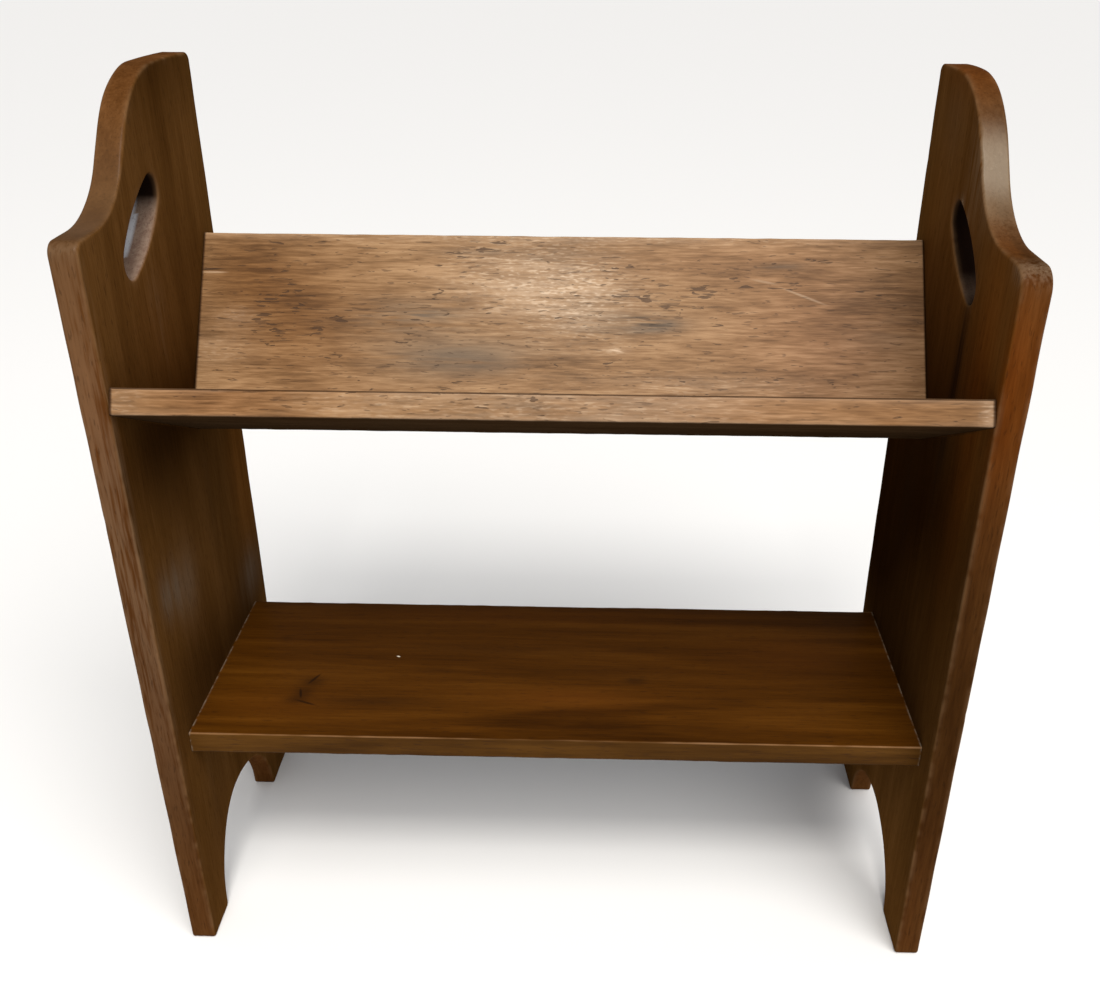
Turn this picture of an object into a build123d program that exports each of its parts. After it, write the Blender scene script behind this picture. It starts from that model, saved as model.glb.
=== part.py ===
from build123d import *

import os
from math import atan, cos, degrees, radians, sin
from typing import NamedTuple

os.makedirs("parts", exist_ok=True)

# A book trough for the floor: two shaped end boards carry a V-shaped trough above
# and a flat shelf below. The boards are let into the ends and held by screws
# whose heads lie under wooden plugs.
# X runs along the boards, Y from front to back, Z up. The origin is on the floor,
# in the middle of the object's box. Sizes are millimetres, angles are degrees.

# whole object
overall_width = 610.0
side_height = 677.0
side_depth = 248.0
side_thickness = 19.5

# The end boards were sawn by hand, each from its own marks, so their outlines differ
# a little. Drops are measured down from a board's own top. The ogee runs from the
# shoulder to the top in two arcs with a short straight part between them.
right_side_shortfall = 4.5
left_shoulder_drop = 83.5
right_shoulder_drop = 89.0
left_shoulder_length = 29.0
right_shoulder_length = 45.0
left_shoulder_corner_radius = 9.0
right_shoulder_corner_radius = 15.0
left_top_length = 76.0
right_top_length = 50.0
top_fall = 2.0
back_corner_radius = 7.0
ogee_steepness_share = 0.88
ogee_hollow_share = 0.46

# feet, with an arch between them that is highest at a share of its length from the front
left_front_foot_length = 38.0
right_front_foot_length = 48.0
left_back_foot_length = 57.0
right_back_foot_length = 50.0
left_arch_height = 82.0
right_arch_height = 63.0
left_arch_apex_share = 0.41
right_arch_apex_share = 0.51
foot_corner_radius = 4.0
side_edge_radius = 2.0

# slanted oval hand hole in each end board
hole_length = 88.0
hole_width = 33.0
hole_end_radius = 12.5
hole_tilt = 33.0
left_hole_from_front = 104.5
right_hole_from_front = 123.0
left_hole_drop = 99.5
right_hole_drop = 111.5

# trough
trough_thickness = 18.5
front_board_slope = 27.0
back_board_slope = 55.0
back_board_width = 140.0
back_board_setback = 9.5
nose_drop = 195.5
nose_proud = 1.5
nose_edge_radius = 2.0
trough_edge_radius = 1.5

# lower shelf
shelf_thickness = 19.0
shelf_top_height = 200.0
shelf_front_setback = 24.0
shelf_back_setback = 33.5
shelf_edge_radius = 1.5

# housings: the grooves in the end boards that take the tongues on the board ends
housing_depth = 5.0
housing_floor_gap = 0.3
tongue_shoulder = 3.0
nose_housing_stop = 22.0
top_housing_stop = 16.0
shelf_housing_stop = 12.0

# countersunk wood screws through the end boards, and the plugs over them
screw_length = 38.0
screw_radius = 2.2
screw_head_radius = 4.2
screw_head_height = 2.8
screw_rim = 0.4
screw_tip_length = 4.0
screw_tip_radius = 0.5
screw_slot_width = 1.1
screw_slot_depth = 1.2
screw_hole_clearance = 0.25
plug_radius = 5.0
plug_depth = 6.0
plug_edge_radius = 0.4

# where the screws enter the boards, as shares of each board's width
shelf_screw_shares = (0.2, 0.8)
front_screw_shares = (0.3, 0.8)
back_screw_shares = (0.2, 0.75)

# screws from behind that close the seam at the bottom of the trough
seam_screw_count = 4
seam_screw_end_margin = 60.0

# how far a cutting shape passes the surface that it opens
overrun = 2.0

# places that follow from the sizes above
inner_half = overall_width / 2 - side_thickness
outer_half = overall_width / 2
front_lean = radians(front_board_slope)
back_lean = radians(back_board_slope)
nose_reach = nose_edge_radius * (cos(front_lean) + sin(front_lean) - 1)
front_y = nose_proud - (side_depth + nose_proud) / 2
back_y = front_y + side_depth

# unit directions in the section, written as (Y, Z)
up_front = Vector(-cos(front_lean), sin(front_lean))
up_back = Vector(cos(back_lean), sin(back_lean))
above_front = Vector(sin(front_lean), cos(front_lean))
behind_back = Vector(sin(back_lean), -cos(back_lean))

# corners of the trough's section
nose_low = Vector(front_y - nose_proud - nose_reach, side_height - nose_drop)
nose_top = nose_low + above_front * trough_thickness
back_heel = Vector(back_y - back_board_setback, 0) - behind_back * trough_thickness
front_board_width = (back_heel.X - back_board_width * cos(back_lean) - nose_top.X) / cos(front_lean)
valley = nose_top - up_front * front_board_width
back_top = valley + up_back * back_board_width


class EndBoard(NamedTuple):
    """The sizes in which the two end boards differ."""

    height: float
    shoulder_drop: float
    shoulder_length: float
    shoulder_corner_radius: float
    top_length: float
    hole_from_front: float
    hole_drop: float
    front_foot_length: float
    back_foot_length: float
    arch_height: float
    arch_apex_share: float


left_end = EndBoard(
    side_height,
    left_shoulder_drop,
    left_shoulder_length,
    left_shoulder_corner_radius,
    left_top_length,
    left_hole_from_front,
    left_hole_drop,
    left_front_foot_length,
    left_back_foot_length,
    left_arch_height,
    left_arch_apex_share,
)
right_end = EndBoard(
    side_height - right_side_shortfall,
    right_shoulder_drop,
    right_shoulder_length,
    right_shoulder_corner_radius,
    right_top_length,
    right_hole_from_front,
    right_hole_drop,
    right_front_foot_length,
    right_back_foot_length,
    right_arch_height,
    right_arch_apex_share,
)


def meeting(point_a, along_a, point_b, along_b):
    """The point where two lines of the section cross."""
    gap = point_b - point_a
    spread = along_a.X * along_b.Y - along_a.Y * along_b.X
    return point_a + along_a * ((gap.X * along_b.Y - gap.Y * along_b.X) / spread)


seam_low = meeting(nose_low, up_front, valley, up_back)
heel_low = meeting(nose_low, up_front, valley + behind_back * trough_thickness, up_back)
tongue_nose = nose_top - above_front * tongue_shoulder
tongue_valley = meeting(tongue_nose, up_front, valley, up_back)


def section(*corners):
    """A flat outline in the YZ plane from its corners, each a (Y, Z) pair."""
    return Plane.YZ * make_face(Polyline(*[(c.X, c.Y) for c in corners], close=True))


def front_board_section():
    """The front board's section, with its rear edge bevelled to the back board's face."""
    return section(nose_low, nose_top, valley, seam_low)


def front_tongue_section():
    """The front board's tongue: short of the nose, and below the upper face by the shoulder."""
    short = up_front * nose_housing_stop
    return section(nose_low - short, tongue_nose - short, tongue_valley, seam_low)


def back_board_section():
    """The back board's section, run down past the front board's bevelled edge."""
    back_head = back_top + behind_back * trough_thickness
    return section(seam_low, back_top, back_head, heel_low)


def back_tongue_section():
    """The back board's tongue: short of the top, and behind the front face by the shoulder."""
    head = back_top - up_back * top_housing_stop
    step = behind_back * tongue_shoulder
    step_low = meeting(nose_low, up_front, valley + step, up_back)
    return section(step_low, head + step, head + behind_back * trough_thickness, heel_low)


def seam_relief_section():
    """What is cut away between the two trough housings, so that no thin rib stands there."""
    step = behind_back * tongue_shoulder
    step_low = meeting(nose_low, up_front, valley + step, up_back)
    return section(seam_low, tongue_valley, tongue_valley + step, step_low)


def shelf_section(front_cut=0.0, top_cut=0.0):
    """The shelf's section, with its front and its top cut back."""
    shelf_front = front_y + shelf_front_setback + front_cut
    shelf_back = back_y - shelf_back_setback
    shelf_low = shelf_top_height - shelf_thickness
    shelf_top = shelf_top_height - top_cut
    return section(
        Vector(shelf_front, shelf_low),
        Vector(shelf_back, shelf_low),
        Vector(shelf_back, shelf_top),
        Vector(shelf_front, shelf_top),
    )


def between_sides(flat, reach=0.0):
    """A section run from one end board to the other, and reach into each."""
    return extrude(flat, inner_half + reach, both=True)


def housed(visible, tongue):
    """A board that fills the space between the ends and has a tongue in each housing."""
    return between_sides(visible) + between_sides(tongue, housing_depth)


def long_edges_near(board, *places):
    """The edges that run along X nearest to the given (Y, Z) places."""
    runs = board.edges().filter_by(Axis.X)
    return [runs.sort_by(lambda e, p=p: abs(e.center() - Vector(0, p.X, p.Y)))[0] for p in places]


def ogee(board):
    """The hollow and the crown of a board's ogee, level where they leave the shoulder and the top.

    The rise and the run fix the steepest straight part that fits between two arcs. The
    real one is a share of that, and what is left of rise and run fixes the radii.
    """
    start = front_y + board.shoulder_length
    finish = back_y - board.top_length
    foot = board.height - board.shoulder_drop
    run = finish - start
    steepness = 2 * atan(board.shoulder_drop / run) * ogee_steepness_share
    radii = (run * sin(steepness) - board.shoulder_drop * cos(steepness)) / (1 - cos(steepness))
    hollow_radius = radii * ogee_hollow_share
    crown_radius = radii - hollow_radius
    turn = degrees(steepness)
    hollow = CenterArc((start, foot + hollow_radius), hollow_radius, -90, turn)
    crown = CenterArc((finish, board.height - crown_radius), crown_radius, 90, turn)
    return hollow, crown


def side_outline(board):
    """An end board's outline: straight front and back, ogee on top, arch between the feet."""
    shoulder = (front_y, board.height - board.shoulder_drop)
    peak = (back_y, board.height - top_fall)
    hollow, crown = ogee(board)
    top = TangentArc(crown @ 0, peak, tangent=(1, 0))
    arch_front = front_y + board.front_foot_length
    arch_back = back_y - board.back_foot_length
    apex = arch_front + (arch_back - arch_front) * board.arch_apex_share
    arch_rear_half = EllipticalCenterArc((apex, 0), arch_back - apex, board.arch_height, arc_size=90)
    arch_front_half = EllipticalCenterArc(
        (apex, 0), apex - arch_front, board.arch_height, start_angle=90, arc_size=90
    )
    outline = (
        Line((front_y, 0), shoulder)
        + Line(shoulder, hollow @ 0)
        + hollow
        + Line(hollow @ 1, crown @ 1)
        + crown
        + top
        + Line(peak, (back_y, 0))
        + Line((back_y, 0), (arch_back, 0))
        + arch_rear_half
        + arch_front_half
        + Line((arch_front, 0), (front_y, 0))
    )
    flat = make_face(outline)
    flat = round_corner(flat, shoulder, board.shoulder_corner_radius)
    flat = round_corner(flat, peak, back_corner_radius)
    for y in (front_y, arch_front, arch_back, back_y):
        flat = round_corner(flat, (y, 0), foot_corner_radius)
    return flat


def round_corner(flat, place, radius):
    """The outline with the corner nearest to place rounded."""
    corner = flat.vertices().sort_by(lambda v: abs(v.center() - Vector(*place)))[0]
    return fillet(corner, radius)


def hand_hole_outline(board):
    """An oval of four arcs that run into each other: two long sides and two round ends."""
    half_length = hole_length / 2
    half_width = hole_width / 2
    end_centre = half_length - hole_end_radius
    side_radius = (end_centre**2 + half_width**2 - hole_end_radius**2) / (
        2 * (half_width - hole_end_radius)
    )
    drop = side_radius - half_width
    reach = side_radius / (side_radius - hole_end_radius)
    touch = Vector(end_centre * reach, drop * (reach - 1))
    oval = (
        ThreePointArc((-touch.X, touch.Y), (0, half_width), (touch.X, touch.Y))
        + ThreePointArc((touch.X, touch.Y), (half_length, 0), (touch.X, -touch.Y))
        + ThreePointArc((touch.X, -touch.Y), (0, -half_width), (-touch.X, -touch.Y))
        + ThreePointArc((-touch.X, -touch.Y), (-half_length, 0), (-touch.X, touch.Y))
    )
    place = Pos(front_y + board.hole_from_front, board.height - board.hole_drop)
    return place * Rot(0, 0, hole_tilt) * make_face(oval)


def along(start, end, shares, inset):
    """Places on the line from start to end, by shares of its length, each moved by inset."""
    return [start + (end - start) * share + inset for share in shares]


def end_screw_places():
    """Where the screws pass each end board, as (Y, Z), for each board that they hold."""
    half_trough = trough_thickness / 2
    shelf_front = Vector(front_y + shelf_front_setback, shelf_top_height)
    shelf_back = Vector(back_y - shelf_back_setback, shelf_top_height)
    return {
        "shelf": along(shelf_front, shelf_back, shelf_screw_shares, Vector(0, -shelf_thickness / 2)),
        "trough_front": along(nose_top, valley, front_screw_shares, above_front * -half_trough),
        "trough_back": along(valley, back_top, back_screw_shares, behind_back * half_trough),
    }


def screw_shape(slotted=True):
    """A countersunk wood screw on +Z, with its head's flat top at the origin."""
    profile = Polyline(
        (0, 0),
        (screw_head_radius, 0),
        (screw_head_radius, screw_rim),
        (screw_radius, screw_head_height),
        (screw_radius, screw_length - screw_tip_length),
        (screw_tip_radius, screw_length),
        (0, screw_length),
        close=True,
    )
    screw = revolve(Plane.XZ * make_face(profile), Axis.Z)
    if slotted:
        slot_reach = 2 * (screw_head_radius + overrun)
        screw -= Pos(0, 0, screw_slot_depth / 2) * Box(slot_reach, screw_slot_width, screw_slot_depth)
    return screw


def plug_shape():
    """A round plug on +Z from the face of the end board down to the screw's head."""
    plug = Cylinder(plug_radius, plug_depth, align=(Align.CENTER, Align.CENTER, Align.MIN))
    return fillet(plug.edges().group_by(Axis.Z)[0], plug_edge_radius)


def end_location(hand, place, depth=0.0):
    """A location that points inwards at an end board; hand is 1 at the right end and -1 at the left."""
    middle = (hand * (outer_half - depth), place.X, place.Y)
    return Location(Plane(middle, x_dir=(0, 1, 0), z_dir=(-hand, 0, 0)))


def seam_screw_locations():
    """Where the seam screws lie flush in the back board's rear face, pointing into the front board."""
    span = 2 * (inner_half - seam_screw_end_margin)
    middle = (valley + seam_low) * 0.5 + behind_back * trough_thickness
    pointing = (0, -behind_back.X, -behind_back.Y)
    return [
        Location(Plane(
            (seam_screw_end_margin - inner_half + span * n / (seam_screw_count - 1), middle.X, middle.Y),
            x_dir=(1, 0, 0),
            z_dir=pointing,
        ))
        for n in range(seam_screw_count)
    ]


def side_board(board, places):
    """An end board at the right end, with its hand hole, housings, and screw and plug holes."""
    profile = side_outline(board) - hand_hole_outline(board)
    side = extrude(Plane.YZ.offset(inner_half) * profile, side_thickness)
    faces = side.faces().filter_by(Axis.X)
    side = fillet([edge for face in faces for edge in face.edges()], side_edge_radius)
    grooves = (
        front_tongue_section(),
        back_tongue_section(),
        seam_relief_section(),
        shelf_section(shelf_housing_stop, tongue_shoulder),
    )
    for groove in grooves:
        side -= between_sides(groove, housing_depth + housing_floor_gap)
    on_end = (Align.CENTER, Align.CENTER, Align.MIN)
    plug_bore = Cylinder(plug_radius, plug_depth + overrun, align=on_end)
    shank_hole = Cylinder(screw_radius + screw_hole_clearance, side_thickness, align=on_end)
    for place in places:
        side -= end_location(1, place, -overrun) * plug_bore
        side -= end_location(1, place, plug_depth) * (screw_shape(slotted=False) + shank_hole)
    return side


def lower_shelf():
    """The flat shelf with its front edges eased."""
    board = housed(shelf_section(), shelf_section(shelf_housing_stop, tongue_shoulder))
    front_top = Vector(front_y + shelf_front_setback, shelf_top_height)
    front_low = front_top - Vector(0, shelf_thickness)
    return fillet(long_edges_near(board, front_top, front_low), shelf_edge_radius)


def trough_front_board():
    """The gently sloping board, with its nose rounded."""
    board = housed(front_board_section(), front_tongue_section())
    return fillet(long_edges_near(board, nose_low, nose_top), nose_edge_radius)


def trough_back_board():
    """The steep board that the books lean on, with its top edges eased."""
    board = housed(back_board_section(), back_tongue_section())
    back_head = back_top + behind_back * trough_thickness
    return fillet(long_edges_near(board, back_top, back_head), trough_edge_radius)


def bored(board, locations):
    """The board with a hole at each location that the screw there fills."""
    for location in locations:
        board -= location * screw_shape(slotted=False)
    return board


def write(name, *solids):
    """One STEP file with the piece, or the group of like pieces, of that name."""
    export_step(solids[0] if len(solids) == 1 else Compound(children=list(solids)), f"parts/{name}.step")


def main():
    seams = seam_screw_locations()
    places = end_screw_places()
    boards = {
        "shelf": lower_shelf(),
        "trough_front": bored(trough_front_board(), seams),
        "trough_back": bored(trough_back_board(), seams),
    }
    for group, board in boards.items():
        for end, hand in (("left", -1), ("right", 1)):
            heads = [end_location(hand, place, plug_depth) for place in places[group]]
            mouths = [end_location(hand, place) for place in places[group]]
            board = bored(board, heads)
            write(f"{group}_screws_{end}", *[head * screw_shape() for head in heads])
            write(f"{group}_plugs_{end}", *[mouth * plug_shape() for mouth in mouths])
        boards[group] = board
    screwed = [place for group in places.values() for place in group]
    write("right_side", side_board(right_end, screwed))
    write("left_side", mirror(side_board(left_end, screwed), Plane.YZ))
    write("lower_shelf", boards["shelf"])
    write("trough_front_board", boards["trough_front"])
    write("trough_back_board", boards["trough_back"])
    write("trough_seam_screws", *[location * screw_shape() for location in seams])


main()
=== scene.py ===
"""The book trough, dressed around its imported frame: worn boards, old finish, studio.

Shapes are worked out in millimetres on X (along the boards), Y (front to back) and
Z (up), and become metres when a piece is made.
"""

import math
from typing import NamedTuple

import bmesh
import bpy
import numpy as np
from mathutils import Matrix, Vector
from mathutils.geometry import delaunay_2d_cdt


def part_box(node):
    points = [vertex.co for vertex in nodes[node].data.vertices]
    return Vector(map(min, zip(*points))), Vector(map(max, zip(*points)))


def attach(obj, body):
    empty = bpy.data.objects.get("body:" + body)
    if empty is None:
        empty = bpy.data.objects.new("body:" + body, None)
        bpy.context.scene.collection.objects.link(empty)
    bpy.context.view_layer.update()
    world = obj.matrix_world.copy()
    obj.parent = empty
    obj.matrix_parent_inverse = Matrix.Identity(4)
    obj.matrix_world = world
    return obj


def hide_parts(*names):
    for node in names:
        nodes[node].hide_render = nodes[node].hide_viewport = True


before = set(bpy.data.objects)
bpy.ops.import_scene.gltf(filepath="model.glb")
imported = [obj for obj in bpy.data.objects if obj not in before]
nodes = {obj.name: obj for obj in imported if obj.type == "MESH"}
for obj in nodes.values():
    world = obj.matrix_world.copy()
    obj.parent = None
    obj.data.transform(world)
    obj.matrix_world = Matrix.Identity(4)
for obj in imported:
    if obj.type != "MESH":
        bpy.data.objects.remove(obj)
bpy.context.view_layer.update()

MM = 0.001

side_low, side_high = np.array(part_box("right_side")) / MM
INNER, OUTER = side_low[0], side_high[0]
FRONT, BACK = side_low[1], side_high[1]
THICKNESS = OUTER - INNER


class EndShape(NamedTuple):
    """What one sawn end board measures; drops are taken down from its own top."""

    height: float
    shoulder_drop: float
    shoulder: float
    shoulder_round: float
    top: float
    hole_from_front: float
    hole_drop: float
    front_foot: float
    back_foot: float
    arch: float
    apex: float


LEFT_END = EndShape(
    height=677.0, shoulder_drop=83.5, shoulder=29.0, shoulder_round=9.0, top=76.0, hole_from_front=104.5,
    hole_drop=99.5, front_foot=38.0, back_foot=57.0, arch=82.0, apex=0.41)
RIGHT_END = EndShape(
    height=672.5, shoulder_drop=89.0, shoulder=45.0, shoulder_round=15.0, top=50.0, hole_from_front=123.0,
    hole_drop=111.5, front_foot=48.0, back_foot=50.0, arch=63.0, apex=0.51)
TOP_FALL, TOP_ROUND, FOOT_ROUND = 2.0, 7.0, 4.0
STEEPNESS_SHARE, HOLLOW_SHARE = 0.88, 0.46
HOLE_LENGTH, HOLE_WIDTH, HOLE_ROUND, HOLE_TILT = 88.0, 33.0, 12.5, 33.0

# the trough's section, as (Y, Z)
BOARD = 18.5
FRONT_LEAN, BACK_LEAN = math.radians(27.0), math.radians(55.0)
UP_FRONT = np.array((-math.cos(FRONT_LEAN), math.sin(FRONT_LEAN)))
OVER_FRONT = np.array((math.sin(FRONT_LEAN), math.cos(FRONT_LEAN)))
UP_BACK = np.array((math.cos(BACK_LEAN), math.sin(BACK_LEAN)))
BEHIND_BACK = np.array((math.sin(BACK_LEAN), -math.cos(BACK_LEAN)))
BACK_WIDTH, BACK_SETBACK, NOSE_DROP, NOSE_PROUD, NOSE_ROUND = 140.0, 9.5, 195.5, 1.5, 2.0
HOUSING, HOUSING_GAP, SHOULDER = 5.0, 0.3, 3.0
NOSE_STOP, TOP_STOP, SHELF_STOP = 22.0, 16.0, 12.0

# an end screw's bores: depths in the end board from its outer face, lengths of the screw from its head
PLUG_RADIUS, PLUG_DEPTH = 5.0, 6.0
HEAD_RADIUS, HEAD_DEPTH = 4.2, 6.4
NECK_RADIUS, NECK_DEPTH = 2.45, 8.6
SHANK_RADIUS, SHANK_LENGTH = 2.2, 34.0
TIP_RADIUS, SCREW_LENGTH = 0.5, 38.0

# a seam screw's countersink and bore, with depths from the back board's rear face
SEAM_SCREWS, SEAM_MARGIN = 4, 60
SEAM_HEAD, SEAM_RIM, SEAM_TAPER, SEAM_DEPTH, SEAM_PAST = 4.5, 0.5, 3.0, 17.0, 1.0

# how far the worn boards lie inside the sawn ones, and how long the ripples of that are
EDGE_EASE, EDGE_SWING, EDGE_WAVE = 2.0, 0.5, 70.0
EDGE_HOLLOW, HOLLOW_WAVE = 0.1, 45.0
END_PLANED, END_WAVE = 0.11, 120.0
BOARD_PLANED, BOARD_WAVE, BOARD_FADE = 0.1, 110.0, 8
ARRIS_WORN, ARRIS_WAVE, ARRIS_REACH = 0.22, 22.0, 2.0

# how far the finishes' masks reach from an arris, a face or an end
END_WEAR, BOARD_WEAR, SEAM_REACH, FACE_TURN = 2.0, 2.2, 2.2, 1.5
# how far the painted light seen through a hand hole reaches on the outer rim of its wall
LIP_DEPTH, LIP_BELOW, LIP_TURN = 4.5, 30, 12
EDGE_POLISH = 0.05

# how fine the shapes are
RING = 32
CAP_PITCH, END_PITCH = 5.0, 6.0
STATIONS, FIRST_STATION, SECOND_STATION = 142, 0.8, 4
EDGE_TURNS, EDGE_STEPS = 6, 5
SAME_PLACE, SLICE, SHARP_ANGLE = 1e-4, 2000, 38


# working out shapes

def bend(centre, radii, first, last, step=1.3):
    """An arc of a circle or ellipse: centre plus radii times cosine and sine, from first to last degrees."""
    radii = np.broadcast_to(radii, 2)
    count = max(int(math.radians(abs(last - first)) * radii.max() / step), 4)
    angle = np.radians(np.linspace(first, last, count + 1))
    return np.asarray(centre) + radii * np.stack((np.cos(angle), np.sin(angle)), 1)


def joined(parts, step=3.0):
    """A closed loop through the parts in turn, straight between them, with points at even steps."""
    runs = []
    for part, after in zip(parts, parts[1:] + parts[:1]):
        gap = after[0] - part[-1]
        count = max(int(np.hypot(*gap) / step), 1)
        runs += [part, part[-1] + gap * (np.arange(1, count) / count)[:, None]]
    loop = np.concatenate(runs)
    return loop[np.hypot(*(loop - np.roll(loop, 1, 0)).T) > SAME_PLACE]


def rounded(corners, radii, step=4.0, support=0.7):
    """A polygon with an arc in each corner: it touches both sides at the radius times the half turn's
    tangent, and one more point supports it on each side."""
    corners = [np.asarray(c, float) for c in corners]
    parts = []
    befores, afters = corners[-1:] + corners, corners[1:] + corners[:1]
    for before, corner, after, radius in zip(befores, corners, afters, radii):
        inward = (corner - before) / np.hypot(*(corner - before))
        onward = (after - corner) / np.hypot(*(after - corner))
        turn = math.atan2(inward[0] * onward[1] - inward[1] * onward[0], inward @ onward)
        side = math.copysign(radius, turn)
        touch = corner - inward * abs(side * math.tan(turn / 2))
        centre = touch + side * np.array((-inward[1], inward[0]))
        first = math.degrees(math.atan2(*(touch - centre)[::-1]))
        arc = bend(centre, radius, first, first + math.degrees(turn), step=max(radius / 4, 0.05))
        parts.append(np.concatenate(([touch - inward * support], arc, [arc[-1] + onward * support])))
    return joined(parts, step)


def meeting(a, along_a, b, along_b):
    """Where two lines cross: the step along the first is a ratio of two cross products."""
    gap = b - a
    step = (gap[0] * along_b[1] - gap[1] * along_b[0]) / (along_a[0] * along_b[1] - along_a[1] * along_b[0])
    return a + along_a * step


def normals(loop):
    """Unit vectors to the left of a loop's run at each point, from the points on both sides."""
    run = np.roll(loop, -1, 0) - np.roll(loop, 1, 0)
    left = np.stack((-run[:, 1], run[:, 0]), 1)
    return left / np.linalg.norm(left, axis=1, keepdims=True)


def run_length(loop):
    """How far along a loop each of its points lies: the sum of the steps up to it."""
    return np.concatenate(([0], np.cumsum(np.hypot(*np.diff(loop, axis=0).T))))


def ripple(places, wavelength, seed, waves=9):
    """A smooth uneven field from -1 to 1: the mean of sine waves that run in seeded directions."""
    shortest, longest, stretch = 0.6, 1.7, 1.9
    chance = np.random.default_rng(seed)
    places = np.asarray(places, float).reshape(len(places), -1)
    course = chance.normal(size=(waves, places.shape[1]))
    course /= np.linalg.norm(course, axis=1, keepdims=True)
    course *= (2 * math.pi / (wavelength * chance.uniform(shortest, longest, waves)))[:, None]
    height = np.sin(places @ course.T + chance.uniform(0, 2 * math.pi, waves)).mean(1)
    return np.clip(height * stretch, -1, 1)


def inside(places, loop):
    """Which places lie in a loop: those whose level line crosses it an odd number of times to one side."""
    y, z = places[:, :1], places[:, 1:]
    y0, z0 = loop.T
    y1, z1 = np.roll(loop, -1, 0).T
    spans = (z0 > z) != (z1 > z)
    with np.errstate(divide="ignore", invalid="ignore"):
        crossing = y0 + (z - z0) * (y1 - y0) / (z1 - z0)
    return (spans & (y < crossing)).sum(1) % 2 == 1


def closest(places, loop):
    """For each place the number of the nearest of a loop's points and how far off it is, in slices."""
    number, distance = [], []
    for part in np.array_split(places, max(len(places) // SLICE, 1)):
        apart = np.hypot(*(part[:, None] - loop[None]).transpose(2, 0, 1))
        number.append(apart.argmin(1))
        distance.append(apart.min(1))
    return np.concatenate(number), np.concatenate(distance)


def strip(rows, count):
    """Quads between neighbouring closed rows of count points each."""
    across = np.arange(count)
    low = (np.arange(rows - 1) * count)[:, None] + across
    side = (np.arange(rows - 1) * count)[:, None] + (across + 1) % count
    return np.stack((low, side, side + count, low + count), -1).reshape(-1, 4)


def ring(place, radius):
    """Points round a place, at even angles."""
    angle = np.arange(RING) * 2 * math.pi / RING
    return (np.asarray(place) + radius * np.stack((np.cos(angle), np.sin(angle)), 1)).astype(np.float32)


def turned(place, steps):
    """A surface turned round a level axis: a ring for each step's radius at its depth."""
    rings = [np.column_stack((np.full(RING, deep), ring(place, wide))) for wide, deep in steps]
    return np.concatenate(rings), strip(len(rings), RING)


def terraced(outline, holes, steps, drop, pitch, flush=False, inward=0.8):
    """A flat face on its loops: triangles inside the outline and outside the holes, with the stepped
    areas moved by the drop and a wall round each, also at the outline where they are flush with it.
    Free points stand on a grid at the pitch, and on a line just inside the outline."""
    outline = outline.astype(np.float32)
    loops = [outline, *holes, *steps]
    fixed = np.concatenate(loops)
    ends = np.cumsum([len(loop) for loop in loops])
    low, high = outline.min(0), outline.max(0)
    grid = np.meshgrid(*[np.arange(a + pitch / 2, b, pitch) for a, b in zip(low, high)])
    free = np.stack(grid, -1).reshape(-1, 2)
    support = outline - normals(outline) * inward
    near = np.min(np.hypot(*(free[:, None] - fixed[None]).transpose(2, 0, 1)), 1)
    free = np.concatenate((free[near > pitch * 0.5], support))
    edges = np.concatenate([
        np.stack((np.arange(len(loop)), (np.arange(len(loop)) + 1) % len(loop)), 1) + end - len(loop)
        for loop, end in zip(loops, ends)
    ])
    found = delaunay_2d_cdt(np.concatenate((fixed, free)).tolist(), edges.tolist(), [], 0, 1e-3)
    points, triangles = np.array(found[0]), np.array(found[2])
    middle = points[triangles].mean(1)
    kept = inside(middle, outline)
    for hole in holes:
        kept &= ~inside(middle, hole)
    triangles, middle = triangles[kept], middle[kept]
    level = np.zeros(len(triangles), int)
    for area in steps:
        level[inside(middle, area)] = 1
    count = len(points)
    pairs = np.sort(np.concatenate([triangles[:, (0, 1)], triangles[:, (1, 2)], triangles[:, (2, 0)]]), 1)
    owner = np.tile(level, 3)
    order = np.lexsort(pairs.T)
    pairs, owner = pairs[order], owner[order]
    same = (pairs[1:] == pairs[:-1]).all(1)
    walled = np.append(same & (owner[1:] != owner[:-1]), False)
    if flush:
        alone = ~np.append(same, False) & ~np.insert(same, 0, False)
        seen = points[pairs].mean(1)
        for hole in holes:
            alone &= np.hypot(*(seen - hole.mean(0)).T) > np.hypot(*(hole[0] - hole.mean(0))) + 0.1
        walled |= alone & (owner == 1)
    a, b = pairs[walled].T
    walls = np.stack((a, b, b + count, a + count), 1)
    surface = np.concatenate([np.column_stack((points, np.full(count, depth))) for depth in (0.0, drop)])
    return surface, triangles + (level * count)[:, None], walls


class Shell:
    """The surfaces of one piece, gathered as points on (X, Y, Z) and as faces on them."""

    def __init__(self):
        self.points, self.faces, self.count = [], [], 0

    def add(self, points, *faces):
        self.points.append(np.asarray(points, np.float32).reshape(-1, 3))
        self.faces += [np.asarray(f) + self.count for f in faces if len(f)]
        self.count += len(self.points[-1])

    def settled(self):
        """All points once, and the faces on them."""
        points, back = np.unique(np.concatenate(self.points), axis=0, return_inverse=True)
        faces = [back.ravel()[f] for f in self.faces]
        used = np.unique(np.concatenate([f.ravel() for f in faces]))
        place = np.full(len(points), -1)
        place[used] = np.arange(len(used))
        return points[used].astype(float), [place[f] for f in faces]


def stood(name, data):
    """A new object in the scene, with its mesh, lamp or lens."""
    item = bpy.data.objects.new(name, data)
    bpy.context.scene.collection.objects.link(item)
    return item


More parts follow.
